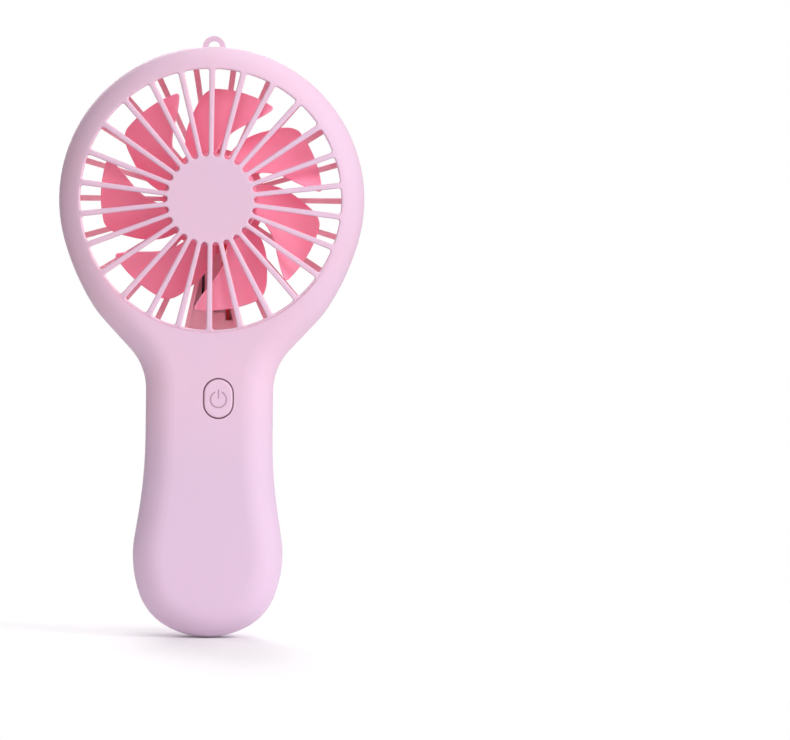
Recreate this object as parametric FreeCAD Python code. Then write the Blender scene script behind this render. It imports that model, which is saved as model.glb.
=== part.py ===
import FreeCAD, Part
import math
import os

# Handheld electric fan. Millimetres. +Z runs up the handle, the front grille faces -Y and +X is to the
# right when the front is looked at. Z = 0 is the lowest point of the handle.

os.makedirs("parts", exist_ok=True)
V = FreeCAD.Vector
X, Y, Z = V(1, 0, 0), V(0, 1, 0), V(0, 0, 1)

# ---- housing ------------------------------------------------------------------------------------------
HUB_Z = 139.0           # height of the fan axis
HEAD_R = 48.4           # outer radius of the round head
SPOKE_END = 106.1       # degrees from the top where the round head runs into the shoulder
SHOULDER_R = 80.0       # long shoulder below the head
SHOULDER_END = 31.0
CORNER_R = 39.0         # tighter end of the shoulder
SLOPE = 43.0            # steepest lean of the shoulder, from vertical
SLOPE_LEN = 11.9
NECK_R = 18.8           # hollow between shoulder and grip
GRIP_LEN = 14.7         # parallel part of the grip
FLARE_R = 158.0         # slow flare of the lower grip
FLARE = 9.1
FLARE_LEN = 7.9
BELLY_R = 30.0
FOOT_R = 38.0
FRONT_Y = -15.5         # flat front of the handle
REAR_Y = 14.5           # flat back of the handle
FRONT_ROUND = 9.5
REAR_ROUND = 16.5
WALL = 2.2
PART_Y = -3.0           # plane where the two shells meet
SEAM_WIDTH = 0.24
SEAM_DEPTH = 0.2
DUCT_R = 46.0           # round air passage in the head
DUCT_WALL = 1.6

# ---- front grille -------------------------------------------------------------------------------------
FRONT_SPOKES = 26
FRONT_HUB_R = 14.2
FRONT_HUB_Y = -17.5
FRONT_RING_R = 41.2     # inner edge of the front ring
FRONT_THICK = 2.3
FRONT_SPOKE_IN = 1.5    # spoke width at the hub
FRONT_SPOKE_OUT = 1.8   # spoke width at the ring
GAP_CORNER_R = 0.8      # rounding of the outer corners of each opening
GRILLE_CORE = 2.0       # width of hub moulded with each spoke
DOME_END_R = 39.68      # radius where the sloping grille meets the rounded ring

# ---- rear grille --------------------------------------------------------------------------------------
REAR_PITCH = 360.0 / 22
REAR_HUB_R = 16.5
REAR_HUB_Y = 17.2
REAR_SLOPE = 8.0        # rise of the rear spokes towards the hub
REAR_RISE_R = 33.0      # radius where that rise begins
REAR_THICK = 2.3
REAR_SPOKE_IN = 1.45
REAR_SPOKE_OUT = 2.1
SPINE_HALF = 12.0       # half angle of the solid spine below the hub
SPINE_RIB = 1.4         # thickness of the ribs down both sides of the spine
SPINE_RIB_Y = 7.5       # front edge of those ribs
SPINE_RIB_R = 26.0      # distance below the hub where they begin
RIM_ROUND = 11.0
LABEL_R = 14.3
LABEL_THICK = 0.15

# ---- lanyard loop -------------------------------------------------------------------------------------
LOOP_HALF = 3.6
LOOP_RISE = 3.5
LOOP_HOLE = 1.95
LOOP_DEPTH = 3.0
LOOP_Y = -0.6

# ---- impeller and motor -------------------------------------------------------------------------------
BLADES = 7
BLADE_TIP_R = 35.2
BLADE_THICK = 1.15
TIP_ANGLE = 34.3        # degrees clockwise from the top to the first pointed tip
TIP_ROUND = 0.9
CORNER_ROUND = 2.5
BLADE_SOFT = 0.3        # rounding of the blade edges
CUP_R = 14.7
CUP_FRONT = -14.4
CUP_BACK = 0.4
SHAFT_R = 1.0
BUSH_GAP = 0.05
CAN_R = 12.0
CAN_FRONT = 2.6
CAN_BACK = 13.2
CAP_BACK = 15.0
SLEEVE_R = 13.9
SLEEVE_FRONT = 4.5
LEAD_R = 0.45

# ---- battery, boards and button -----------------------------------------------------------------------
CELL_R = 9.15
CELL_LEN = 65.0
CELL_Z = 14.4
CELL_Y = 2.5
BUTTON_X = 3.2
BUTTON_Z = 76.2
BUTTON_W = 9.0
BUTTON_H = 12.2
BUTTON_GAP = 0.4
SCREW_Z = 93.0
BOSS_R = 3.2
PORT_Y = 0.9
BOARD_THICK = 1.0
SWITCH_BOARD_Y = -8.2


# ======== helpers ======================================================================================
def box(x0, x1, y0, y1, z0, z1):
    return Part.makeBox(x1 - x0, y1 - y0, z1 - z0, V(x0, y0, z0))


def rod(radius, y0, y1, x=0.0, z=HUB_Z):
    """Cylinder along Y."""
    return Part.makeCylinder(radius, y1 - y0, V(x, y0, z), Y)


def post(radius, z0, z1, x=0.0, y=0.0):
    """Cylinder along Z."""
    return Part.makeCylinder(radius, z1 - z0, V(x, y, z0), Z)


def spun(points, degrees=360.0):
    """Solid of revolution about the fan axis from (radius, y) points; a point with a third value is the
    middle of an arc."""
    edges = []
    at = 0
    ring = list(points) + [points[0]]
    while at < len(ring) - 1:
        a = ring[at]
        b = ring[at + 1]
        if len(b) == 3:
            c = ring[at + 2]
            edges.append(Part.Arc(V(a[0], a[1], 0), V(b[0], b[1], 0), V(c[0], c[1], 0)).toShape())
            at += 2
        else:
            edges.append(Part.makeLine(V(a[0], a[1], 0), V(b[0], b[1], 0)))
            at += 1
    face = Part.Face(Part.Wire(edges))
    solid = face.revolve(V(0, 0, 0), Y, degrees)
    solid.translate(V(0, 0, HUB_Z))
    return solid


def turned(shape, degrees):
    """Copy turned clockwise about the fan axis, as seen from the front."""
    copy = shape.copy()
    copy.rotate(V(0, 0, HUB_Z), Y, degrees)
    return copy


def mirrored(shape):
    return shape.mirror(V(0, 0, 0), X)


def joined(shapes):
    """All the shapes in one."""
    shapes = [shape for shape in shapes if shape.Solids]
    return shapes[0].fuse(shapes[1:]) if len(shapes) > 1 else shapes[0]


def polygon_prism(points, y0, y1):
    """Prism along Y from (x, z) points."""
    corners = [V(x, y0, z) for x, z in points]
    face = Part.Face(Part.makePolygon(corners + corners[:1]))
    return face.extrude(V(0, y1 - y0, 0))


def bend(before, corner, after):
    """Tangent arc that rounds the corner between two straight runs: start, middle and end."""
    back = (before - corner).normalize()
    ahead = (after - corner).normalize()
    reach = 0.42 * min((before - corner).Length, (after - corner).Length)
    half = back.getAngle(ahead) / 2
    centre = corner + (back + ahead).normalize() * (reach / math.cos(half))
    middle = centre + (corner - centre).normalize() * (reach * math.tan(half))
    return corner + back * reach, middle, corner + ahead * reach


def cable(points, radius):
    """Round wire along straight runs joined by tangent arcs."""
    spots = [V(*point) for point in points]
    edges = []
    at = spots[0]
    for k in range(1, len(spots) - 1):
        start, middle, end = bend(spots[k - 1], spots[k], spots[k + 1])
        edges.append(Part.makeLine(at, start))
        edges.append(Part.Arc(start, middle, end).toShape())
        at = end
    edges.append(Part.makeLine(at, spots[-1]))
    ring = Part.Wire(Part.makeCircle(radius, spots[0], spots[1] - spots[0]))
    return Part.Wire(edges).makePipeShell([ring], True, True)


def edges_at(shape, y, tolerance=1e-4):
    """Edges lying wholly in the plane at this y."""
    found = []
    for edge in shape.Edges:
        low, high = edge.BoundBox.YMin, edge.BoundBox.YMax
        if abs(low - y) < tolerance and abs(high - y) < tolerance:
            found.append(edge)
    return found


def save(name, shape):
    shape = shape.removeSplitter()
    if not shape.isValid() or not shape.Solids:
        raise ValueError(name + " is not a sound solid")
    print(name, len(shape.Solids), "%.1f" % shape.Volume)
    shape.exportStep("parts/" + name + ".step")


# ======== outline of the housing =======================================================================
def side_moves():
    """Tangent arcs and lines down the right side from the top: (radius, turn), turn to the right is
    positive and radius 0 means a straight of that length. The last two arcs close the bottom."""
    moves = [
        (HEAD_R, SPOKE_END),
        (SHOULDER_R, SHOULDER_END + 90 - SPOKE_END),
        (CORNER_R, SLOPE - SHOULDER_END),
        (0, SLOPE_LEN),
        (NECK_R, -SLOPE),
        (0, GRIP_LEN),
        (FLARE_R, -FLARE),
        (0, FLARE_LEN),
        (BELLY_R, FLARE),
        (FOOT_R, 20.0),
    ]
    x, z = walk(moves, 0.0)[-1][-1]
    s20, c20 = math.sin(math.radians(20)), math.cos(math.radians(20))
    s60 = math.sin(math.radians(60))
    # x = corner * (c20 - 0.5) + bottom * 0.5 and z = corner * (s60 - s20) + bottom * (1 - s60)
    a, b, c, d = c20 - 0.5, 0.5, s60 - s20, 1 - s60
    det = a * d - b * c
    corner = (x * d - b * z) / det
    bottom = (a * z - c * x) / det
    return moves + [(corner, 40.0), (bottom, 30.0)]


def walk(moves, inset):
    """Follow the moves and return (start, middle, end) of each piece of the outline, set in by inset."""
    x, z, heading = 0.0, HUB_Z + HEAD_R - inset, 0.0
    pieces = []
    for radius, turn in moves:
        start = (x, z)
        if radius == 0:
            x += turn * math.cos(heading)
            z += turn * math.sin(heading)
            pieces.append((start, None, (x, z)))
            continue
        side = -1.0 if turn > 0 else 1.0
        r = radius + side * inset
        cx = x - side * r * math.sin(heading)
        cz = z + side * r * math.cos(heading)
        half = heading - math.radians(turn) / 2
        heading -= math.radians(turn)
        middle = (cx + side * r * math.sin(half), cz - side * r * math.cos(half))
        x = cx + side * r * math.sin(heading)
        z = cz - side * r * math.cos(heading)
        pieces.append((start, middle, (x, z)))
    return pieces


def outline(inset, y):
    """Closed outline of the whole fan, set in by inset, in the plane at y."""
    pieces = walk(side_moves(), inset)
    edges = []
    for flip in (1, -1):
        for start, middle, end in pieces:
            a = V(flip * start[0], y, start[1])
            b = V(flip * end[0], y, end[1])
            if middle is None:
                edges.append(Part.makeLine(a, b))
            else:
                edges.append(Part.Arc(a, V(flip * middle[0], y, middle[1]), b).toShape())
    return Part.Wire(Part.__sortEdges__(edges))


def envelope(inset):
    """Rounded solid with the shape of the housing, set in by inset on every side."""
    y0 = FRONT_Y + inset
    y1 = REAR_Y - inset
    solid = Part.Face(outline(inset, y0)).extrude(V(0, y1 - y0, 0))
    solid = solid.makeFillet(FRONT_ROUND - inset, edges_at(solid, y0))
    return solid.makeFillet(REAR_ROUND - inset, edges_at(solid, y1))


OUTER = envelope(0.0)
INNER = envelope(WALL)


def handle_space():
    """Hollow inside of the handle, below the air passage."""
    space = INNER.common(box(-60, 60, -40, 40, -5, HUB_Z - 30))
    return space.cut(rod(DUCT_R + DUCT_WALL, -40, 40))


HANDLE_SPACE = handle_space()


# ======== front shell ==================================================================================
def flank_point(radius, width):
    """Point beside the spoke half a pitch from the top: radius along it and half the width off it."""
    half = math.pi / FRONT_SPOKES
    x = radius * math.sin(half) - width / 2 * math.cos(half)
    z = radius * math.cos(half) + width / 2 * math.sin(half)
    return V(x, 0, z)


def gap_corner(flank, lean):
    """Arc that rounds the outer corner between the flank and the ring: start, middle and end."""
    reach = FRONT_RING_R - GAP_CORNER_R
    normal = V(math.cos(lean), 0, -math.sin(lean))
    offset = flank.dot(normal) - GAP_CORNER_R
    along = math.sqrt(reach * reach - offset * offset)
    centre = normal * offset + V(math.sin(lean), 0, math.cos(lean)) * along
    start = centre + normal * GAP_CORNER_R
    end = centre * (FRONT_RING_R / reach)
    middle = centre + (start + end - centre * 2).normalize() * GAP_CORNER_R
    return start, middle, end


def front_gap():
    """Opening between two front spokes, centred on the top."""
    flank = flank_point(FRONT_HUB_R + 0.35, FRONT_SPOKE_IN)
    far = flank_point(FRONT_RING_R - 0.25, FRONT_SPOKE_OUT)
    lean = math.atan2(far.x - flank.x, far.z - flank.z)
    end_r = flank.x / math.cos(lean)
    low = V(0, 0, flank.z + end_r * math.sin(lean) - end_r)
    start, middle, end = gap_corner(flank, lean)

    def left(point):
        return V(-point.x, 0, point.z)

    edges = [
        Part.Arc(flank, low, left(flank)).toShape(),
        Part.makeLine(left(flank), left(start)),
        Part.Arc(left(start), left(middle), left(end)).toShape(),
        Part.Arc(left(end), V(0, 0, FRONT_RING_R), end).toShape(),
        Part.Arc(end, middle, start).toShape(),
        Part.makeLine(start, flank),
    ]
    face = Part.Face(Part.Wire(edges))
    face.translate(V(0, -25, HUB_Z))
    return face.extrude(V(0, 20, 0))


def ring_y(radius):
    """Front of the rounded ring at this radius."""
    centre = HEAD_R - FRONT_ROUND
    return FRONT_Y + FRONT_ROUND - math.sqrt(FRONT_ROUND ** 2 - (radius - centre) ** 2)


def front_sector():
    """One spoke pitch of the front grille with its opening and softened edges."""
    core_r = FRONT_HUB_R - GRILLE_CORE
    hub_back = FRONT_HUB_Y + FRONT_THICK
    out_r = FRONT_RING_R + 1.6
    mid_r = (DOME_END_R + out_r) / 2
    profile = [
        (core_r, FRONT_HUB_Y),
        (FRONT_HUB_R, FRONT_HUB_Y),
        (DOME_END_R, ring_y(DOME_END_R)),
        (mid_r, ring_y(mid_r), 0),
        (out_r, ring_y(out_r)),
        (out_r, ring_y(out_r) + 1.2),
        (DOME_END_R, ring_y(DOME_END_R) + FRONT_THICK),
        (FRONT_HUB_R, hub_back),
        (core_r, hub_back),
    ]
    pitch = 360.0 / FRONT_SPOKES
    wedge = turned(spun(profile, pitch), 270.0 - pitch / 2).cut(front_gap())
    wedge = wedge.makeFillet(0.5, opening_edges(wedge, True))
    return wedge.makeFillet(0.3, opening_edges(wedge, False))


def opening_edges(wedge, front):
    """Edges round the opening of a grille sector, on its front or its back."""
    found = []
    for edge in wedge.Edges:
        mid = edge.valueAt((edge.FirstParameter + edge.LastParameter) / 2)
        radius = math.hypot(mid.x, mid.z - HUB_Z)
        angle = abs(math.degrees(math.atan2(mid.x, mid.z - HUB_Z)))
        ends = [v.Point for v in edge.Vertexes]
        across = len(ends) == 2 and abs(ends[1].y - ends[0].y) > 1.5 and edge.Length < 4
        if across or angle > 180.0 / FRONT_SPOKES - 0.5:
            continue
        if not FRONT_HUB_R - 1.5 < radius < FRONT_RING_R + 0.05:
            continue
        middle_y = FRONT_HUB_Y + FRONT_THICK / 2 + max(radius - FRONT_HUB_R, 0) * 0.082
        if (mid.y < middle_y - 0.5) if front else (mid.y > middle_y + 0.5):
            found.append(edge)
    return found


def front_shell():
    """Front half: ring, grille and front of the handle in one moulding."""
    body = OUTER.common(box(-60, 60, -30, PART_Y, -5, 200))
    body = body.cut(HANDLE_SPACE)
    passage = INNER.common(rod(DUCT_R, -40, 40))
    body = body.cut(passage)
    body = body.cut(rod(FRONT_RING_R + 0.9, -40, 0))
    step = 360.0 / FRONT_SPOKES
    sector = front_sector()
    hub = rod(FRONT_HUB_R - GRILLE_CORE, FRONT_HUB_Y, FRONT_HUB_Y + FRONT_THICK)
    grille = [turned(sector, step * (k + 0.5)) for k in range(FRONT_SPOKES)]
    body = joined([body, hub] + grille)
    boss = rod(BOSS_R, FRONT_Y + 1.0, 7.4, 0.0, SCREW_Z)
    body = joined([body, boss]).cut(rod(1.1, -8.0, 8.0, 0.0, SCREW_Z))
    for side in (-1, 1):
        for angle in (57.0, 100.0):
            body = joined([body, snap_bump(side * angle)])
    body = body.cut(button_hole()).cut(seam())
    return joined([body, board_post(-7.2, 68.6), board_post(7.2, 86.4)])


def seam():
    """Thin groove round the outside where the shells meet."""
    y0 = PART_Y - SEAM_WIDTH / 2
    outer = Part.Face(outline(-1.0, y0)).extrude(V(0, SEAM_WIDTH, 0))
    inner = Part.Face(outline(SEAM_DEPTH, y0)).extrude(V(0, SEAM_WIDTH, 0))
    return outer.cut(inner)


def snap_bump(angle):
    """Small catch inside the air passage, across the joint between the shells."""
    bump = box(-2.4, 2.4, PART_Y - 3.2, PART_Y - 0.2, HUB_Z + DUCT_R - 0.7, HUB_Z + DUCT_R + 0.6)
    return turned(bump, angle)


def button_shape(width, height, y0, y1):
    """Upright slot-ended block behind the button position."""
    r = width / 2
    straight = (height - width) / 2
    block = box(BUTTON_X - r, BUTTON_X + r, y0, y1, BUTTON_Z - straight, BUTTON_Z + straight)
    top = rod(r, y0, y1, BUTTON_X, BUTTON_Z + straight)
    bottom = rod(r, y0, y1, BUTTON_X, BUTTON_Z - straight)
    return joined([block, top, bottom]).removeSplitter()


def button_hole():
    return button_shape(BUTTON_W + 2 * BUTTON_GAP, BUTTON_H + 2 * BUTTON_GAP, -20, -12)


def board_post(x, z):
    return rod(1.5, FRONT_Y + WALL - 0.3, SWITCH_BOARD_Y, x, z)


# ======== rear shell ===================================================================================
def rear_skin():
    """Solid whose back is the housing's back, rising towards the hub."""
    rise = math.tan(math.radians(REAR_SLOPE))
    low = REAR_Y - 0.05
    top = low + (REAR_RISE_R - 10.0) * rise
    cap = spun([(0, 5), (REAR_RISE_R, 5), (REAR_RISE_R, low), (10.0, top), (0, top)])
    return joined([OUTER, cap])


def rear_grille_shell():
    """Skin of even thickness over the head, from which spokes and spine are cut."""
    skin = rear_skin()
    inside = INNER.copy()
    rise = math.tan(math.radians(REAR_SLOPE))
    low = REAR_Y - WALL
    top = low + (REAR_RISE_R - 10.0) * rise
    cap = spun([(0, -5), (REAR_RISE_R, -5), (REAR_RISE_R, low), (10.0, top), (0, top)])
    shell = skin.cut(joined([inside, cap]))
    return shell.common(box(-60, 60, -2, 40, 70, 200))


def spoke_strip(angle):
    """Tapered strip from the hub outwards, turned clockwise from the top as seen from behind."""
    a = REAR_SPOKE_IN / 2
    b = REAR_SPOKE_OUT / 2
    z0 = HUB_Z + REAR_HUB_R - 1.5
    z1 = HUB_Z + 60.0
    strip = polygon_prism([(-a, z0), (a, z0), (b, z1), (-b, z1)], -2, 25)
    return turned(strip, -angle)


def rear_spokes(shell):
    spokes = []
    for k in range(10):
        angle = REAR_PITCH * (k + 0.5)
        reach = 60.0 if k < 7 else DUCT_R + 1.0
        strip = spoke_strip(angle).common(rod(reach, -2, 40))
        spoke = shell.common(strip)
        spoke = rounded_back(spoke)
        spokes.append(spoke)
        spokes.append(mirrored(spoke))
    return spokes


def rounded_back(spoke):
    """Soften the two long back edges of a spoke."""
    long_edges = []
    for edge in spoke.Edges:
        mid = edge.valueAt((edge.FirstParameter + edge.LastParameter) / 2)
        radius = math.hypot(mid.x, mid.z - HUB_Z)
        if edge.Length < 8 or mid.y < 5.5:
            continue
        on_rise = radius < REAR_RISE_R and mid.y > REAR_Y - 0.6
        if on_rise or OUTER.Shells[0].distToShape(Part.Vertex(mid))[0] < 0.05:
            long_edges.append(edge)
    soft = spoke.makeFillet(0.5, long_edges)
    return soft if soft.isValid() and soft.Solids else spoke


def rim():
    """Thin rounded rim of the head, behind the joint."""
    r = RIM_ROUND
    cx, cy = HEAD_R - r, -2.0

    def arc_y(radius):
        return cy + math.sqrt(r * r - (radius - cx) ** 2)

    inner = DUCT_R
    crest = inner + 0.5
    mid = (crest + HEAD_R) / 2 + 0.5
    profile = [
        (inner, PART_Y),
        (HEAD_R, PART_Y),
        (HEAD_R, cy),
        (mid, arc_y(mid), 0),
        (crest, arc_y(crest)),
        (inner, arc_y(crest) - 0.6),
    ]
    ring = spun(profile, 2 * SPOKE_END)
    return turned(ring, -90.0 - SPOKE_END)


def spine(shell):
    """Solid back of the head between the two lowest spokes, with a rib down each side."""
    lean = math.tan(math.radians(SPINE_HALF))
    top = HUB_Z - REAR_HUB_R + 1.5
    low = HUB_Z - DUCT_R - 1.0
    wedge = [
        (-(HUB_Z - top) * lean, top),
        ((HUB_Z - top) * lean, top),
        ((HUB_Z - low) * lean, low),
        (-(HUB_Z - low) * lean, low),
    ]
    plate = shell.common(polygon_prism(wedge, -2, 40))
    ribs = []
    for side in (-1, 1):
        outer = [(side * (HUB_Z - z) * lean, z) for z in (HUB_Z - SPINE_RIB_R, low)]
        inner = [(x - side * SPINE_RIB, z) for x, z in outer]
        ribs.append(polygon_prism(outer + inner[::-1], SPINE_RIB_Y, REAR_Y - 1.0))
    return joined([plate, lead_cover()] + ribs)


def lead_cover():
    """Thin cover over the leads at the foot of the spine, notched where each lead goes under it."""
    edge = [
        (-6.0, -34.6),
        (-2.0, -31.2),
        (0.6, -31.2),
        (0.6, -36.2),
        (4.2, -36.2),
        (4.2, -38.6),
        (7.3, -38.6),
        (8.4, -45.6),
        (-8.4, -45.6),
    ]
    return polygon_prism([(x, HUB_Z + z) for x, z in edge], 8.2, 9.2)


def rear_hub():
    """Disc on the rear spokes with a sleeve that carries the motor."""
    disc = rod(REAR_HUB_R, REAR_HUB_Y - 2.2, REAR_HUB_Y)
    disc = disc.makeFillet(0.7, edges_at(disc, REAR_HUB_Y))
    sleeve = rod(SLEEVE_R, SLEEVE_FRONT, REAR_HUB_Y - 2.1).cut(rod(CAN_R, 0, CAP_BACK))
    hub = joined([disc, sleeve])
    hub = hub.cut(rod(LABEL_R + 0.15, REAR_HUB_Y - 0.25, REAR_HUB_Y + 1))
    slots = [box(x - 1.4, x + 1.4, 12.6, CAP_BACK, HUB_Z - 16, HUB_Z - 10) for x in (-4.0, 4.0)]
    return hub.cut(slots[0]).cut(slots[1])


def lanyard_loop():
    y0 = LOOP_Y - LOOP_DEPTH / 2
    y1 = LOOP_Y + LOOP_DEPTH / 2
    top = HUB_Z + HEAD_R + LOOP_RISE
    foot = HUB_Z + HEAD_R - 1.2
    r = LOOP_HALF
    arch = rod(r, y0, y1, 0.0, top - r)
    legs = box(-r, r, y0, y1, foot, top - r)
    body = joined([arch, legs])
    hole_top = top - 1.55
    hole_foot = HUB_Z + HEAD_R - 0.25
    hole = rod(LOOP_HOLE, y0 - 1, y1 + 1, 0.0, hole_top - LOOP_HOLE)
    hole = joined([hole, box(-LOOP_HOLE, LOOP_HOLE, y0 - 1, y1 + 1, hole_foot, hole_top - LOOP_HOLE)])
    hole = hole.common(box(-9, 9, y0 - 1, y1 + 1, hole_foot, 300))
    body = body.removeSplitter().common(box(-9, 9, y0 - 1, y1 + 1, foot, 300))
    return body.cut(hole)


def cell_cradles():
    """Two curved supports for the cell, across the back of the handle."""
    ribs = []
    for z in (26.0, 62.0):
        plate = INNER.common(box(-30, 30, 3.0, 30, z - 0.8, z + 0.8))
        ribs.append(plate.cut(post(CELL_R + 0.25, z - 2, z + 2, 0.0, CELL_Y)))
    return ribs


def rear_shell():
    """Rear half: rim, spokes, motor drum, spine, loop and back of the handle."""
    body = OUTER.common(box(-60, 60, PART_Y, 30, -5, HUB_Z - 5))
    keep = polygon_prism(below_spokes(), PART_Y - 1, 40)
    body = body.common(keep)
    body = body.cut(HANDLE_SPACE)
    body = body.cut(rod(DUCT_R, -40, 40))
    shell = rear_grille_shell()
    for piece in [rim(), rear_hub(), spine(shell), lanyard_loop()] + rear_spokes(shell) + cell_cradles():
        body = body.fuse(piece)
    body = body.cut(rod(CAN_R, 0.0, CAP_BACK))
    body = body.cut(box(-7.4, 7.4, 4.0, 12.0, SCREW_Z - 4, SCREW_Z + 4))
    body = body.cut(rod(BOSS_R + 0.2, PART_Y - 1, 7.5, 0.0, SCREW_Z))
    tube = rod(3.8, 7.5, REAR_Y - 0.5, 0.0, SCREW_Z)
    body = joined([body, tube])
    body = body.cut(rod(2.5, 9.0, 30, 0.0, SCREW_Z)).cut(rod(1.3, 7, 10, 0.0, SCREW_Z))
    body = body.cut(seam())
    return body.cut(box(-4.2, 4.2, PORT_Y - 1.7, PORT_Y + 1.7, -5, 3.6))


def below_spokes():
    """Region under the two radial lines where the round head ends."""
    lean = math.radians(SPOKE_END - 90)
    far = 80.0
    side = (far * math.cos(lean), HUB_Z - far * math.sin(lean))
    return [(0.0, HUB_Z), side, (far, -10.0), (-far, -10.0), (-side[0], side[1])]


def rear_label():
    return rod(LABEL_R, REAR_HUB_Y - 0.25, REAR_HUB_Y - 0.25 + LABEL_THICK)


# ======== impeller =====================================================================================
def blade_outline():
    """Front outline of one blade: pointed trailing tip, round leading corner."""
    def at(radius, angle):
        a = math.radians(angle)
        return V(radius * math.sin(a), -30, HUB_Z + radius * math.cos(a))

    root_back = at(CUP_R - 1.5, -31.5)
    tip = at(BLADE_TIP_R, TIP_ANGLE)
    corner = at(BLADE_TIP_R, 0.0)
    root_front = at(CUP_R - 1.5, 4.0)
    lead = Part.BSplineCurve()
    lead.interpolate([root_back, at(19.6, -26.7), at(25.0, -18.5), at(29.7, -10.9), at(33.8, -4.6), corner])
    trail = Part.BSplineCurve()
    trail.interpolate([tip, at(31.5, 31.8), at(27.6, 27.0), at(22.7, 18.0), at(18.0, 10.0), root_front])
    edges = [
        lead.toShape(),
        Part.Arc(corner, at(BLADE_TIP_R, 17.0), tip).toShape(),
        trail.toShape(),
        Part.makeLine(root_front, root_back),
    ]
    prism = Part.Face(Part.Wire(edges)).extrude(V(0, 40, 0))
    prism = prism.makeFillet(TIP_ROUND, upright_edges(prism, tip))
    return prism.makeFillet(CORNER_ROUND, upright_edges(prism, corner))


def runs_along_y(edge):
    return abs(edge.tangentAt(edge.FirstParameter).y) > 0.99


def upright_edges(prism, point):
    """Edges of a prism along Y that pass through the point."""
    return [e for e in prism.Edges if runs_along_y(e) and e.distToShape(Part.Vertex(point))[0] < 0.01]


def blade():
    """One blade with softened edges round its free outline."""
    solid = blade_slab().common(blade_outline())
    rims = []
    for edge in solid.Edges:
        reach = max(math.hypot(v.X, v.Z - HUB_Z) for v in edge.Vertexes)
        if reach > CUP_R + 2.0 and not runs_along_y(edge):
            rims.append(edge)
    return solid.makeFillet(BLADE_SOFT, rims)


def blade_slab():
    """Twisted slab along the blade, steep at the root and flatter at the tip."""
    rings = []
    lean = math.radians(5.0)
    for u, tilt, mid in ((10.0, 47.0, -5.0), (18.0, 39.0, -2.5), (26.0, 31.0, 2.0), (38.0, 23.0, 8.0)):
        corners = []
        slope = math.tan(math.radians(tilt))
        half = BLADE_THICK / 2 / math.cos(math.radians(tilt))
        for t, side in ((-26.0, -1), (30.0, -1), (30.0, 1), (-26.0, 1)):
            y = -6.4 - (t - mid) * slope + side * half
            x = u * math.sin(lean) + t * math.cos(lean)
            z = u * math.cos(lean) - t * math.sin(lean)
            corners.append(V(x, y, HUB_Z + z))
        rings.append(Part.makePolygon(corners + corners[:1]))
    return Part.makeLoft(rings, True, False)


def impeller():
    cup = rod(CUP_R, CUP_FRONT, CUP_BACK)
    cup = cup.makeFillet(1.2, edges_at(cup, CUP_FRONT))
    cup = cup.cut(rod(CUP_R - 1.5, CUP_FRONT + 1.6, CUP_BACK + 1))
    boss = rod(3.0, CUP_FRONT + 1.0, -3.0)
    one = blade()
    blades = [turned(one, 360.0 * k / BLADES) for k in range(BLADES)]
    body = joined([cup, boss] + blades)
    body = body.cut(rod(CUP_R - 1.5, CUP_FRONT + 1.6, CUP_BACK + 3).cut(boss))
    return body.cut(rod(SHAFT_R, -11.0, 0.0))


# ======== motor ========================================================================================
def motor_can():
    can = rod(CAN_R, CAN_FRONT, CAN_BACK)
    can = can.makeFillet(0.8, edges_at(can, CAN_FRONT))
    can = can.cut(rod(CAN_R - 0.8, CAN_FRONT + 0.8, CAN_BACK + 1))
    return can.cut(rod(3.0, CAN_FRONT - 1, CAN_FRONT + 2))


def motor_end_cap():
    disc = rod(CAN_R, CAN_BACK, CAP_BACK)
    plug = rod(CAN_R - 0.8, CAN_BACK - 1.3, CAN_BACK)
    body = joined([disc, plug]).cut(rod(2.5, 5, 20))
    for x in (-4.0, 4.0):
        body = body.cut(box(x - 1.0, x + 1.0, 13.6, 14.0, HUB_Z - 13, HUB_Z - 3.4))
    return body


def motor_magnets():
    ring = rod(CAN_R - 0.8, 4.2, 11.4).cut(rod(CAN_R - 2.5, 4, 12))
    gap = 4.2
    ring = ring.cut(box(-gap, gap, 0, 20, HUB_Z - 20, HUB_Z + 20))
    return ring


def motor_armature():
    core = rod(3.0, 4.8, 10.4)
    stem = box(-1.1, 1.1, 4.8, 10.4, HUB_Z + 2.0, HUB_Z + 8.0)
    shoe = rod(9.1, 4.8, 10.4).cut(rod(7.6, 4, 11))
    lean = math.tan(math.radians(48))
    shoe = shoe.common(polygon_prism([(0, HUB_Z), (-12 * lean, HUB_Z + 12), (12 * lean, HUB_Z + 12)], 4, 11))
    pole = joined([stem, shoe])
    body = joined([core] + [turned(pole, 120 * k) for k in range(3)])
    return body.cut(rod(SHAFT_R, 0, 20))


def motor_windings():
    coil = box(-2.8, 2.8, 4.2, 11.0, HUB_Z + 3.5, HUB_Z + 6.9)
    coil = coil.makeFillet(0.8, [e for e in coil.Edges if abs(e.tangentAt(e.FirstParameter).z) > 0.9])
    coil = coil.cut(box(-1.1, 1.1, 4.8, 10.4, HUB_Z, HUB_Z + 9))
    return joined([turned(coil, 120 * k) for k in range(3)])


def motor_commutator():
    body = rod(2.3, 10.4, 11.7).cut(rod(SHAFT_R, 5, 20))
    for k in range(3):
        body = body.cut(turned(box(-0.12, 0.12, 10.6, 12, HUB_Z + 1.5, HUB_Z + 3), 60 + 120 * k))
    return body


def motor_bushes():
    front = rod(3.0, CAN_FRONT - 0.6, CAN_FRONT + 1.2).cut(rod(SHAFT_R + BUSH_GAP, 0, 20))
    rear = rod(2.5, CAN_BACK - 1.3, CAP_BACK).cut(rod(SHAFT_R + BUSH_GAP, 0, 20))
    return joined([front, rear])


def motor_shaft():
    return rod(SHAFT_R, -11.0, 14.6)


def motor_terminals():
    return joined([box(x - 1.0, x + 1.0, 13.6, 14.0, HUB_Z - 14.2, HUB_Z - 4.0) for x in (-4.0, 4.0)])


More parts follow.
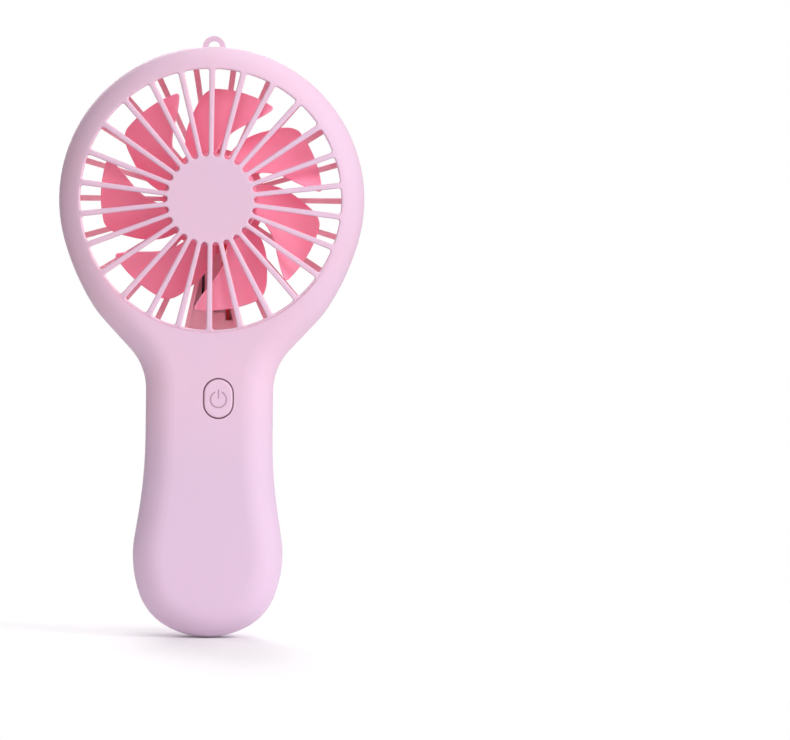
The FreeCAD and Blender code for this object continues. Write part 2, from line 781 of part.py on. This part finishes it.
def motor_lead(side):
    """Insulated lead from a motor terminal, down the spine and round the duct to the switch board."""
    x_at_cover = 4.7 if side > 0 else -3.1
    points = [
        (side * 4.0, 13.3, HUB_Z - 14.6),
        (side * 3.4, 12.0, HUB_Z - 18.5),
        (side * 2.9, 11.4, HUB_Z - 25.0),
        (x_at_cover, 10.9, HUB_Z - 34.0),
        (side * 5.4, 10.5, HUB_Z - 40.0),
        (side * 5.8, 7.6, HUB_Z - 47.0),
        (side * 5.8, 6.4, HUB_Z - 53.0),
        (side * 5.2, -1.0, HUB_Z - 56.5),
        (side * 4.8, -6.6, HUB_Z - 54.5),
    ]
    return cable(points, LEAD_R)


# ======== battery and boards ===========================================================================
def battery_cell():
    body = post(CELL_R, CELL_Z, CELL_Z + CELL_LEN - 1.2, 0.0, CELL_Y)
    return body.makeFillet(0.6, [edge for edge in body.Edges if edge.Closed])


def battery_cap():
    return post(3.6, CELL_Z + CELL_LEN - 1.2, CELL_Z + CELL_LEN, 0.0, CELL_Y)


def battery_wrap_ring():
    ring = post(8.6, CELL_Z + CELL_LEN - 1.2, CELL_Z + CELL_LEN - 0.9, 0.0, CELL_Y)
    return ring.cut(post(4.2, 0, 200, 0.0, CELL_Y))


def battery_tabs():
    z = CELL_Z + CELL_LEN
    top = box(-2.5, 2.5, -7.1, CELL_Y + 3, z, z + 0.2)
    top = joined([top, box(-2.5, 2.5, -7.1, -6.9, z - 3, z + 0.2)])
    low = box(-2.5, 2.5, -0.3, CELL_Y + 4, CELL_Z - 0.2, CELL_Z)
    low = joined([low, box(-2.5, 2.5, -0.5, -0.3, 11.0, CELL_Z)])
    return joined([top, low])


def battery_pad():
    pad = box(-5, 5, 8, 20, 36, 54).common(INNER)
    return pad.cut(post(CELL_R + 0.02, 0, 100, 0.0, CELL_Y))


def battery_lead(side):
    x = side * 10.3
    points = [
        (side * 6.0, -4.6, 12.4),
        (x, -4.8, 17.0),
        (x + side * 1.2, -5.0, 28.0),
        (x + side * 1.4, -5.2, 46.0),
        (x + side * 0.4, -6.0, 60.0),
        (side * 6.0, -8.0, 65.3),
    ]
    return cable(points, 0.5)


def charge_board():
    return box(-8.0, 8.0, -1.5, -0.5, 4.6, 13.4)


def charge_socket():
    shell = box(-3.75, 3.75, PORT_Y - 1.35, PORT_Y + 1.35, 0.9, 6.4)
    shell = shell.makeFillet(0.6, [e for e in shell.Edges if abs(e.tangentAt(0).z) > 0.9])
    return shell.cut(box(-3.45, 3.45, PORT_Y - 1.05, PORT_Y + 1.05, 0.5, 5.9))


def charge_tongue():
    return box(-1.9, 1.9, PORT_Y - 0.75, PORT_Y - 0.15, 1.7, 5.9)


def charge_chip():
    return box(-2.5, 2.5, -3.0, -1.5, 6.6, 10.6)


def charge_inductor():
    return rod(2.0, -3.7, -1.5, -5.4, 10.0)


def board_capacitors():
    blocks = [box(4.2, 5.2, -2.3, -1.5, 6.0 + 1.8 * k, 7.1 + 1.8 * k) for k in range(3)]
    blocks += [box(-3.2 + 2.2 * k, -1.8 + 2.2 * k, -9.0, SWITCH_BOARD_Y, 83.0, 83.9) for k in range(2)]
    return joined(blocks)


def switch_board():
    board = box(-9.4, 9.4, SWITCH_BOARD_Y, SWITCH_BOARD_Y + BOARD_THICK, 66.0, 89.0)
    corners = [e for e in board.Edges if abs(e.tangentAt(0).y) > 0.9]
    return board.makeFillet(1.5, corners)


def tact_switch():
    y1 = SWITCH_BOARD_Y
    body = box(BUTTON_X - 3, BUTTON_X + 3, y1 - 3.0, y1, BUTTON_Z - 3, BUTTON_Z + 3)
    return body.cut(rod(2.0, y1 - 4, y1 - 0.8, BUTTON_X, BUTTON_Z))


def switch_plunger():
    return rod(1.7, SWITCH_BOARD_Y - 4.2, SWITCH_BOARD_Y - 1.4, BUTTON_X, BUTTON_Z)


def switch_transistor():
    return box(-6.6, -3.6, -9.4, SWITCH_BOARD_Y, 70.0, 71.6)


def indicator_led():
    return box(-6.8, -5.2, -9.1, SWITCH_BOARD_Y, 77.2, 78.0)


def power_button():
    cap = button_shape(BUTTON_W, BUTTON_H, FRONT_Y - 0.1, -13.0)
    cap = cap.makeFillet(0.5, edges_at(cap, FRONT_Y - 0.1))
    flange = button_shape(BUTTON_W + 2.2, BUTTON_H + 2.2, -13.1, -12.5)
    groove = rod(2.75, FRONT_Y - 1, FRONT_Y + 0.1, BUTTON_X, BUTTON_Z - 0.3)
    groove = groove.cut(rod(2.3, FRONT_Y - 2, FRONT_Y + 1, BUTTON_X, BUTTON_Z - 0.3))
    groove = groove.cut(box(BUTTON_X - 1.0, BUTTON_X + 1.0, -20, -10, BUTTON_Z, BUTTON_Z + 4))
    bar = box(BUTTON_X - 0.22, BUTTON_X + 0.22, FRONT_Y - 1, FRONT_Y + 0.1, BUTTON_Z, BUTTON_Z + 2.9)
    return joined([cap, flange]).cut(groove).cut(bar)


def neck_screw():
    head = rod(2.1, 9.0, 10.9, 0.0, SCREW_Z)
    head = head.makeFillet(0.5, edges_at(head, 10.9))
    shank = rod(1.1, -4.0, 9.0, 0.0, SCREW_Z)
    cross = joined([box(-1.3, 1.3, 9.9, 12, SCREW_Z - 0.3, SCREW_Z + 0.3),
                    box(-0.3, 0.3, 9.9, 12, SCREW_Z - 1.3, SCREW_Z + 1.3)])
    return joined([head, shank]).cut(cross)


PIECES = {
    "front_shell": front_shell(),
    "rear_shell": rear_shell(),
    "rear_label": rear_label(),
    "impeller": impeller(),
    "motor_can": motor_can(),
    "motor_end_cap": motor_end_cap(),
    "motor_magnets": motor_magnets(),
    "motor_armature": motor_armature(),
    "motor_windings": motor_windings(),
    "motor_commutator": motor_commutator(),
    "motor_bushes": motor_bushes(),
    "motor_shaft": motor_shaft(),
    "motor_terminals": motor_terminals(),
    "motor_lead_red": motor_lead(1),
    "motor_lead_black": motor_lead(-1),
    "battery_cell": battery_cell(),
    "battery_cap": battery_cap(),
    "battery_wrap_ring": battery_wrap_ring(),
    "battery_tabs": battery_tabs(),
    "battery_pad": battery_pad(),
    "battery_lead_red": battery_lead(1),
    "battery_lead_black": battery_lead(-1),
    "charge_board": charge_board(),
    "charge_socket": charge_socket(),
    "charge_tongue": charge_tongue(),
    "charge_chip": charge_chip(),
    "charge_inductor": charge_inductor(),
    "board_capacitors": board_capacitors(),
    "switch_board": switch_board(),
    "tact_switch": tact_switch(),
    "switch_plunger": switch_plunger(),
    "switch_transistor": switch_transistor(),
    "indicator_led": indicator_led(),
    "power_button": power_button(),
    "neck_screw": neck_screw(),
}
for name, shape in PIECES.items():
    save(name, shape)
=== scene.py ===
import math

import bmesh
import bpy
from mathutils import Matrix, Vector


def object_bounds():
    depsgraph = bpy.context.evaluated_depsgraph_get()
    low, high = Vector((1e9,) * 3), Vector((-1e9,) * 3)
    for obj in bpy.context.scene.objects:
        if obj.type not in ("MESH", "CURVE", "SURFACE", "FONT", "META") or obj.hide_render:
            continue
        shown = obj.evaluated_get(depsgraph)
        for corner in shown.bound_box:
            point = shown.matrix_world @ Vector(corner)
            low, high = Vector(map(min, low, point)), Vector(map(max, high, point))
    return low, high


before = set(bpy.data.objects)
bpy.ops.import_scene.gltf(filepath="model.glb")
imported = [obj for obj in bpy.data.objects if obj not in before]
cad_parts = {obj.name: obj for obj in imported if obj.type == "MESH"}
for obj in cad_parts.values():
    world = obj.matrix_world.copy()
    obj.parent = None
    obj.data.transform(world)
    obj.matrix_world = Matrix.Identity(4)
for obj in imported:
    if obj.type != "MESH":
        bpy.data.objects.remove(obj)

CAD_LOW, CAD_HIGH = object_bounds()

MM = 0.001
HUB = Vector((0.0, 0.0, 0.139))         # centre of the fan, on the middle plane
HUB_FRONT_Y = -0.0175                   # face of the front hub disc
HANDLE_TOP = HUB.z - 0.0475             # below this the housing is a closed handle
SCREW = Vector((0.0, 0.0145, 0.093))
BUTTON = Vector((0.0032, -0.0155, 0.0762))
EDGE = 0.0004                           # over which one finish turns into the next
DUCT_WALL_R = 0.0462                    # the head's wall is outside this radius
LOOP_R = 0.0480                         # only the lanyard loop is outside this one
HUB_DISC_R = 0.0172
GRILLE_R = 0.0440                       # the spokes end just outside this radius
SCREW_HOLE_R = 0.0029

# ---- colours, linear ----------------------------------------------------------------------------------


def srgb(r, g, b):
    """Linear colour from 0-255 display values."""
    def one(v):
        v /= 255
        return v / 12.92 if v <= 0.04045 else ((v + 0.055) / 1.055) ** 2.4
    return (one(r), one(g), one(b), 1.0)


COAT = srgb(219, 189, 212)
COAT_WARM = srgb(223, 188, 208)
# painted shade: a darker, cooler coat colour that stands in for the handle's lower lighting
COAT_PAINTED_SHADE = srgb(212, 185, 209)
BARE = srgb(255, 176, 192)
BARE_DEEP = srgb(252, 160, 178)
MIST = srgb(248, 208, 218)
MARK = srgb(190, 152, 172)
BLADE = srgb(255, 154, 184)
BLADE_WARM = srgb(255, 162, 188)
STEEL = srgb(196, 197, 200)
BRASS = srgb(205, 170, 96)
COPPER = srgb(190, 98, 52)
BLACK = srgb(28, 28, 30)
FERRITE = srgb(52, 52, 55)
BOARD = srgb(24, 92, 46)
CERAMIC = srgb(166, 140, 100)
CELL = srgb(52, 96, 165)
CARD = srgb(232, 231, 226)
RED = srgb(232, 66, 48)
FOAM = srgb(52, 52, 54)
LED_CLEAR = srgb(236, 240, 248)
FILM = srgb(232, 229, 243)
INK = srgb(64, 60, 74)
SCREW_DARK = srgb(128, 84, 84)


# ---- node helpers -------------------------------------------------------------------------------------
class Graph:
    """Short calls for building one node tree."""

    def __init__(self, name):
        self.material = bpy.data.materials.new(name)
        self.material.use_nodes = True
        self.tree = self.material.node_tree
        self.shader = self.tree.nodes["Principled BSDF"]

    def node(self, kind, **values):
        """New node with the given settings."""
        made = self.tree.nodes.new(kind)
        for key, value in values.items():
            setattr(made, key, value)
        return made

    def link(self, out, into):
        self.tree.links.new(out, into)

    def math(self, operation, a, b=None, c=None, clamp=False):
        """Arithmetic on numbers and sockets."""
        made = self.node("ShaderNodeMath", operation=operation, use_clamp=clamp)
        for socket, value in zip(made.inputs, (a, b, c)):
            if value is None:
                continue
            if isinstance(value, (int, float)):
                socket.default_value = value
            else:
                self.link(value, socket)
        return made.outputs[0]

    def step(self, value, low, high):
        """Smooth 0 to 1 as value goes from low to high."""
        made = self.node("ShaderNodeMapRange", interpolation_type="SMOOTHSTEP")
        self.link(value, made.inputs["Value"])
        made.inputs["From Min"].default_value = low
        made.inputs["From Max"].default_value = high
        return made.outputs["Result"]

    def place(self):
        """Object-space position, split in three."""
        made = self.node("ShaderNodeTexCoord")
        split = self.node("ShaderNodeSeparateXYZ")
        self.link(made.outputs["Object"], split.inputs[0])
        return made.outputs["Object"], split.outputs

    def facing(self):
        """Surface direction in object space, split in three."""
        made = self.node("ShaderNodeTexCoord")
        split = self.node("ShaderNodeSeparateXYZ")
        self.link(made.outputs["Normal"], split.inputs[0])
        return split.outputs

    def noise(self, scale, detail=3.0, roughness=0.5):
        """Soft noise fixed to the object."""
        made = self.node("ShaderNodeTexNoise")
        made.inputs["Scale"].default_value = scale
        made.inputs["Detail"].default_value = detail
        made.inputs["Roughness"].default_value = roughness
        where = self.node("ShaderNodeTexCoord")
        self.link(where.outputs["Object"], made.inputs["Vector"])
        return made.outputs["Fac"]

    def mix(self, factor, a, b):
        """Colour a where factor is 0 and b where it is 1."""
        made = self.node("ShaderNodeMix", data_type="RGBA")
        for name, value in (("Factor", factor), ("A", a), ("B", b)):
            socket = next(s for s in made.inputs if s.name == name and s.enabled)
            if isinstance(value, (int, float, tuple)):
                socket.default_value = value
            else:
                self.link(value, socket)
        return next(s for s in made.outputs if s.enabled)

    def bump(self, height, strength, distance):
        """Fine relief on the shader."""
        made = self.node("ShaderNodeBump")
        made.inputs["Strength"].default_value = strength
        made.inputs["Distance"].default_value = distance
        self.link(height, made.inputs["Height"])
        self.link(made.outputs["Normal"], self.shader.inputs["Normal"])

    def rough(self, height, low, high):
        """Roughness from low to high as height goes from 0 to 1."""
        made = self.node("ShaderNodeMapRange")
        self.link(height, made.inputs["Value"])
        made.inputs["To Min"].default_value = low
        made.inputs["To Max"].default_value = high
        self.link(made.outputs["Result"], self.shader.inputs["Roughness"])

    def set(self, **values):
        """Even values on the shader's own sockets."""
        for key, value in values.items():
            self.shader.inputs[key.replace("_", " ")].default_value = value


def distance(g, place, centre):
    """Distance in X and Z from a point."""
    across = g.math("SUBTRACT", place["X"], centre.x)
    up = g.math("SUBTRACT", place["Z"], centre.z)
    return g.math("SQRT", g.math("ADD", g.math("MULTIPLY", across, across), g.math("MULTIPLY", up, up)))


def outward(g, place, facing, radius):
    """How far the surface faces away from the fan axis."""
    up = g.math("SUBTRACT", place["Z"], HUB.z)
    along = g.math("ADD", g.math("MULTIPLY", place["X"], facing["X"]), g.math("MULTIPLY", up, facing["Z"]))
    return g.math("DIVIDE", along, g.math("MAXIMUM", radius, 0.001))


def near_button(g, place, half_width, half_height, edge):
    """1 inside an upright rectangle about the middle of the button."""
    across = g.math("ABSOLUTE", g.math("SUBTRACT", place["X"], BUTTON.x))
    height = g.math("ABSOLUTE", g.math("SUBTRACT", place["Z"], BUTTON.z))
    inside = g.step(across, half_width, half_width - edge)
    return g.math("MULTIPLY", inside, g.step(height, half_height, half_height - edge))


# ---- housing materials --------------------------------------------------------------------------------
def sprayed(g, place, facing, radius, sign):
    """1 where a spray from outside reaches: outer faces, the handle and the loop."""
    toward = g.step(g.math("MULTIPLY", facing["Y"], sign), -0.25, 0.35)
    wall = g.step(radius, DUCT_WALL_R, DUCT_WALL_R + EDGE)
    outside = g.math("MULTIPLY", g.step(outward(g, place, facing, radius), 0.0, 0.2), wall)
    handle = g.step(place["Z"], HANDLE_TOP + 0.0006, HANDLE_TOP)
    loop = g.step(radius, LOOP_R, LOOP_R + EDGE)
    return g.math("MAXIMUM", g.math("MAXIMUM", toward, outside), g.math("MAXIMUM", handle, loop))


def button_groove(g, place):
    """1 down in the groove round the button."""
    near = near_button(g, place, 0.0062, 0.0078, EDGE)
    return g.math("MULTIPLY", near, g.step(place["Y"], BUTTON.y + 0.0001, BUTTON.y + 0.0005))


def screw_hole(g, place):
    """1 down in the hole of the neck screw."""
    near = g.step(distance(g, place, SCREW), SCREW_HOLE_R + 0.0003, SCREW_HOLE_R)
    return g.math("MULTIPLY", near, g.step(place["Y"], SCREW.y - 0.0002, SCREW.y - 0.0008))


def misted(g, facing, radius, sign):
    """1 on the inner faces of the grille, which catch a little of the spray."""
    inward = g.step(g.math("MULTIPLY", facing["Y"], -sign), 0.4, 0.8)
    beyond_hub = g.step(radius, HUB_DISC_R, HUB_DISC_R + EDGE)
    grille = g.math("MULTIPLY", beyond_hub, g.step(radius, GRILLE_R + 0.0015, GRILLE_R))
    return g.math("MULTIPLY", inward, grille)


def soft_coat(name, front):
    """Pale rubbery coat outside, bare deeper plastic on what the spray didn't reach."""
    g = Graph(name)
    _, place = g.place()
    facing = g.facing()
    radius = distance(g, place, HUB)
    sign = -1.0 if front else 1.0
    deep = button_groove(g, place) if front else screw_hole(g, place)
    coated = g.math("MULTIPLY", sprayed(g, place, facing, radius, sign), g.math("SUBTRACT", 1.0, deep))
    cloud = g.noise(28.0, 4.0, 0.55)
    grain = g.noise(5200.0, 2.0, 0.6)
    coat = g.mix(g.step(cloud, 0.3, 0.7), COAT, COAT_WARM)
    # painted shade: the coat darkens from just above the button down the handle, in place of lighting
    coat = g.mix(g.step(place["Z"], BUTTON.z + 0.012, BUTTON.z - 0.030), coat, COAT_PAINTED_SHADE)
    bare = g.mix(g.step(cloud, 0.35, 0.75), BARE, BARE_DEEP)
    bare = g.mix(misted(g, facing, radius, sign), bare, MIST)
    g.link(g.mix(coated, bare, coat), g.shader.inputs["Base Color"])
    speckle = g.math("MULTIPLY_ADD", grain, 0.12, g.math("MULTIPLY_ADD", coated, 0.16, 0.36))
    g.link(speckle, g.shader.inputs["Roughness"])
    g.set(Specular_IOR_Level=0.42, Sheen_Weight=0.12, Sheen_Roughness=0.45, Subsurface_Weight=0.06)
    g.shader.inputs["Subsurface Radius"].default_value = (1.0, 0.45, 0.5)
    g.shader.inputs["Subsurface Scale"].default_value = 0.0012
    g.bump(grain, 0.12, 0.00004)
    return g.material


def button_coat():
    """Same coat as the housing, a little darker where the power mark is cut in."""
    g = Graph("button_coat")
    grain = g.noise(5200.0, 2.0, 0.6)
    cloud = g.noise(40.0, 3.0)
    _, place = g.place()
    cut = g.step(place["Y"], BUTTON.y - 0.00008, BUTTON.y + 0.00002)
    mark = g.math("MULTIPLY", near_button(g, place, 0.0034, 0.0040, 0.0002), cut)
    coat = g.mix(g.step(cloud, 0.3, 0.7), COAT, COAT_WARM)
    g.link(g.mix(mark, coat, MARK), g.shader.inputs["Base Color"])
    g.rough(grain, 0.44, 0.58)
    g.set(Specular_IOR_Level=0.42, Sheen_Weight=0.1, Sheen_Roughness=0.45)
    g.bump(grain, 0.1, 0.00004)
    return g.material


def blade_plastic():
    """Moulded satin plastic, a little see-through at thin edges."""
    g = Graph("blade_plastic")
    cloud = g.noise(60.0, 4.0)
    grain = g.noise(3600.0, 2.0)
    g.link(g.mix(g.step(cloud, 0.3, 0.7), BLADE, BLADE_WARM), g.shader.inputs["Base Color"])
    g.rough(grain, 0.34, 0.46)
    g.set(Specular_IOR_Level=0.4, Subsurface_Weight=0.5)
    g.shader.inputs["Subsurface Radius"].default_value = (1.0, 0.35, 0.4)
    g.shader.inputs["Subsurface Scale"].default_value = 0.003
    g.bump(grain, 0.08, 0.00004)
    return g.material


def plain(name, colour, rough=0.4, metallic=0.0, mottled=0.12, grain_scale=3000.0, specular=0.5, bump=0.1):
    """Even material with slight mottling and a fine surface grain."""
    g = Graph(name)
    cloud = g.noise(220.0, 3.0)
    grain = g.noise(grain_scale, 2.0)
    dark = tuple(c * (1 - mottled) for c in colour[:3]) + (1.0,)
    light = tuple(min(1.0, c * (1 + mottled)) for c in colour[:3]) + (1.0,)
    g.link(g.mix(g.step(cloud, 0.3, 0.7), dark, light), g.shader.inputs["Base Color"])
    g.rough(grain, rough * 0.85, min(1.0, rough * 1.2))
    g.set(Metallic=metallic, Specular_IOR_Level=specular)
    g.bump(grain, bump, 0.00003)
    return g.material


def bar(g, x, z, left, right, low, high, soft=0.00004):
    """1 inside an upright rectangle of print."""
    sides = g.math("MULTIPLY", g.step(x, left - soft, left + soft), g.step(x, right + soft, right - soft))
    ends = g.math("MULTIPLY", g.step(z, low - soft, low + soft), g.step(z, high + soft, high - soft))
    return g.math("MULTIPLY", sides, ends)


# Left, right, low and high of each mark on the label, in mm from its middle, from the top down.
LABEL_ROWS = [
    (-2.6, 2.6, 10.3, 11.0), (-8.8, 8.8, 9.35, 9.5),
    (-4.6, 4.4, 6.5, 7.3), (-4.6, 3.6, 4.3, 5.1), (-4.6, 4.7, 2.1, 2.9),
    (-9.6, 10.4, 0.1, 0.62), (-10.2, 10.0, -1.55, -1.03),
    (-10.2, 9.2, -3.2, -2.68), (-10.2, 10.2, -4.85, -4.33),
    (-8.2, 8.0, -8.1, -7.3), (-8.8, 8.8, -9.3, -9.15),
]
LABEL_TILT = math.radians(4.0)


def label_film():
    """Pale printed film: two rules and plain bars in place of wording, turned a little."""
    g = Graph("label_film")
    _, place = g.place()
    cos, sin = math.cos(LABEL_TILT), math.sin(LABEL_TILT)
    up = g.math("SUBTRACT", place["Z"], HUB.z)
    across = g.math("MULTIPLY", place["X"], -1.0)
    x = g.math("ADD", g.math("MULTIPLY", across, cos), g.math("MULTIPLY", up, sin))
    z = g.math("SUBTRACT", g.math("MULTIPLY", up, cos), g.math("MULTIPLY", across, sin))
    ink = None
    for left, right, low, high in LABEL_ROWS:
        one = bar(g, x, z, left * MM, right * MM, low * MM, high * MM)
        ink = one if ink is None else g.math("MAXIMUM", ink, one)
    fibre = g.noise(900.0, 3.0)
    film = g.mix(fibre, FILM, tuple(c * 0.97 for c in FILM[:3]) + (1.0,))
    worn = g.math("MULTIPLY", ink, g.math("MULTIPLY_ADD", fibre, 0.3, 0.72), clamp=True)
    g.link(g.mix(worn, film, INK), g.shader.inputs["Base Color"])
    g.rough(fibre, 0.28, 0.4)
    g.set(Coat_Weight=0.25, Coat_Roughness=0.2)
    g.bump(fibre, 0.05, 0.00003)
    return g.material


MATERIALS = {
    "front_shell": soft_coat("coat_front", True),
    "rear_shell": soft_coat("coat_rear", False),
    "power_button": button_coat(),
    "impeller": blade_plastic(),
    "rear_label": label_film(),
}
steel = plain("steel", STEEL, 0.3, 1.0, 0.05)
black = plain("black_plastic", BLACK, 0.45)
board = plain("solder_mask", BOARD, 0.3)
copper = plain("enamelled_copper", COPPER, 0.35, 0.9)
brass = plain("brass", BRASS, 0.32, 1.0)
ferrite = plain("ferrite", FERRITE, 0.6)
MATERIALS.update({
    "motor_can": steel, "motor_shaft": steel, "motor_armature": steel, "battery_cap": steel,
    "battery_tabs": steel, "charge_socket": steel, "motor_end_cap": black, "charge_tongue": black,
    "charge_chip": black, "tact_switch": black, "switch_transistor": black, "motor_magnets": ferrite,
    "charge_inductor": ferrite, "motor_windings": copper, "motor_commutator": copper,
    "motor_bushes": brass, "motor_terminals": brass, "charge_board": board, "switch_board": board,
    "board_capacitors": plain("ceramic", CERAMIC, 0.5),
    "battery_cell": plain("cell_wrap", CELL, 0.25, 0.0, 0.04),
    "battery_wrap_ring": plain("card_ring", CARD, 0.7),
    "battery_pad": plain("foam", FOAM, 0.9, bump=0.6),
    "motor_lead_red": plain("red_insulation", RED, 0.4),
    "battery_lead_red": plain("red_lead", RED, 0.4),
    "motor_lead_black": plain("black_insulation", BLACK, 0.4),
    "battery_lead_black": plain("black_lead", BLACK, 0.4),
    "indicator_led": plain("led_lens", LED_CLEAR, 0.2),
    "switch_plunger": plain("plunger_plastic", COAT, 0.4),
    "neck_screw": plain("dark_screw", SCREW_DARK, 0.4, 0.4, 0.2),
})


def dress(name, material):
    """The one material of a piece."""
    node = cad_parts[name]
    node.data.materials.clear()
    node.data.materials.append(material)
    node.data.polygons.foreach_set("material_index", [0] * len(node.data.polygons))


for node_name, finish in MATERIALS.items():
    dress(node_name, finish)


# ---- stage --------------------------------------------------------------------------------------------
FLOOR_R = 0.26
FLOOR_DROP = 0.0002                     # so that the floor and the foot don't share a plane
FLOOR_GLOW = 0.04
AMBIENT = 0.47
ROOM_LEFT = (0.42, 0.41, 0.43, 1)
ROOM_RIGHT = (1.0, 0.98, 1.0, 1)
WHITE = (1, 1, 1)
LIGHTS = [                              # name, place, size, power, colour
    ("key", (1.5, -0.85, 0.8), 1.1, 20.5, (1.0, 0.99, 0.995)),
    ("front", (0.1, -1.2, 0.85), 1.0, 8.1, WHITE),
    ("fill", (-1.3, -1.4, 0.9), 1.2, 3.0, (1.0, 0.6, 0.56)),
    ("top", (0.2, 0.5, 1.6), 1.2, 8.4, WHITE),
    ("back", (-0.35, 1.8, 0.8), 1.2, 18.0, WHITE),
]


def make_floor():
    """Small pale table top that glows a little, so it reads as the same white as the room."""
    mesh = bpy.data.meshes.new("floor")
    shape = bmesh.new()
    bmesh.ops.create_circle(shape, cap_ends=True, segments=96, radius=FLOOR_R)
    shape.to_mesh(mesh)
    shape.free()
    floor = bpy.data.objects.new("floor", mesh)
    floor.location = (0, 0, CAD_LOW.z - FLOOR_DROP)
    bpy.context.scene.collection.objects.link(floor)
    pale = plain("pale_floor", srgb(238, 238, 239), 0.8, mottled=0.01, grain_scale=400.0, bump=0.02)
    shader = pale.node_tree.nodes["Principled BSDF"]
    shader.inputs["Emission Color"].default_value = (1, 1, 1, 1)
    shader.inputs["Emission Strength"].default_value = FLOOR_GLOW
    mesh.materials.append(pale)


def make_world():
    """Soft room light, brighter from the right, seen by the camera as plain white."""
    world = bpy.data.worlds.new("studio")
    bpy.context.scene.world = world
    world.use_nodes = True
    tree = world.node_tree
    tree.nodes.clear()
    out = tree.nodes.new("ShaderNodeOutputWorld")
    mix = tree.nodes.new("ShaderNodeMixShader")
    path = tree.nodes.new("ShaderNodeLightPath")
    seen = tree.nodes.new("ShaderNodeBackground")
    seen.inputs["Color"].default_value = (1, 1, 1, 1)
    seen.inputs["Strength"].default_value = 1.0
    lit = tree.nodes.new("ShaderNodeBackground")
    lit.inputs["Strength"].default_value = AMBIENT
    where = tree.nodes.new("ShaderNodeTexCoord")
    split = tree.nodes.new("ShaderNodeSeparateXYZ")
    ramp = tree.nodes.new("ShaderNodeValToRGB")
    shift = tree.nodes.new("ShaderNodeMath")
    shift.operation = "MULTIPLY_ADD"
    shift.inputs[1].default_value = 0.5
    shift.inputs[2].default_value = 0.5
    ramp.color_ramp.elements[0].color = ROOM_LEFT
    ramp.color_ramp.elements[1].color = ROOM_RIGHT
    tree.links.new(where.outputs["Generated"], split.inputs[0])
    tree.links.new(split.outputs["X"], shift.inputs[0])
    tree.links.new(shift.outputs[0], ramp.inputs["Fac"])
    tree.links.new(ramp.outputs["Color"], lit.inputs["Color"])
    tree.links.new(path.outputs["Is Camera Ray"], mix.inputs["Fac"])
    tree.links.new(lit.outputs[0], mix.inputs[1])
    tree.links.new(seen.outputs[0], mix.inputs[2])
    tree.links.new(mix.outputs[0], out.inputs["Surface"])


def make_light(name, place, size, power, colour):
    """Round soft lamp that points at the hub."""
    light = bpy.data.lights.new(name, "AREA")
    light.shape = "DISK"
    light.size = size
    light.energy = power
    light.color = colour
    lamp = bpy.data.objects.new(name, light)
    lamp.location = place
    lamp.rotation_euler = (HUB - Vector(place)).to_track_quat("-Z", "Y").to_euler()
    bpy.context.scene.collection.objects.link(lamp)


make_floor()
make_world()
for lamp_values in LIGHTS:
    make_light(*lamp_values)

scene = bpy.context.scene
scene.view_settings.view_transform = "Standard"
scene.view_settings.look = "None"

# ---- camera -------------------------------------------------------------------------------------------
# A long lens at the height of the hub, with the fan left of the middle of the picture.
FRAME_W, FRAME_H = 790, 740
FOCAL = 240.0                           # mm
SENSOR = 36.0                           # mm
DISTANCE = 1.66                         # metres from the hub disc
PIXEL = SENSOR / FOCAL * DISTANCE / FRAME_W     # metres per picture element at the fan
HUB_RIGHT = 210.5 - FRAME_W / 2                 # hub disc from the middle of the picture
HUB_UP = FRAME_H / 2 - 199.5
ROLL = math.radians(0.75)


def make_camera():
    """Camera level with the hub, straight in front of where it aims, turned a little about its axis."""
    data = bpy.data.cameras.new("camera")
    data.lens = FOCAL
    data.sensor_width = SENSOR
    data.clip_start = 0.05
    data.clip_end = 20.0
    camera = bpy.data.objects.new("camera", data)
    bpy.context.scene.collection.objects.link(camera)
    # the hub's front disc is at this offset from the middle of the picture, before the picture is rolled
    right = HUB_RIGHT * math.cos(ROLL) - HUB_UP * math.sin(ROLL)
    up = HUB_RIGHT * math.sin(ROLL) + HUB_UP * math.cos(ROLL)
    aim = Vector((HUB.x - right * PIXEL, HUB_FRONT_Y, HUB.z - up * PIXEL))
    camera.location = (aim.x, aim.y - DISTANCE, HUB.z)
    look = (aim - camera.location).to_track_quat("-Z", "Y")
    camera.rotation_mode = "QUATERNION"
    camera.rotation_quaternion = look @ Matrix.Rotation(ROLL, 3, "Z").to_quaternion()
    bpy.context.scene.camera = camera


make_camera()
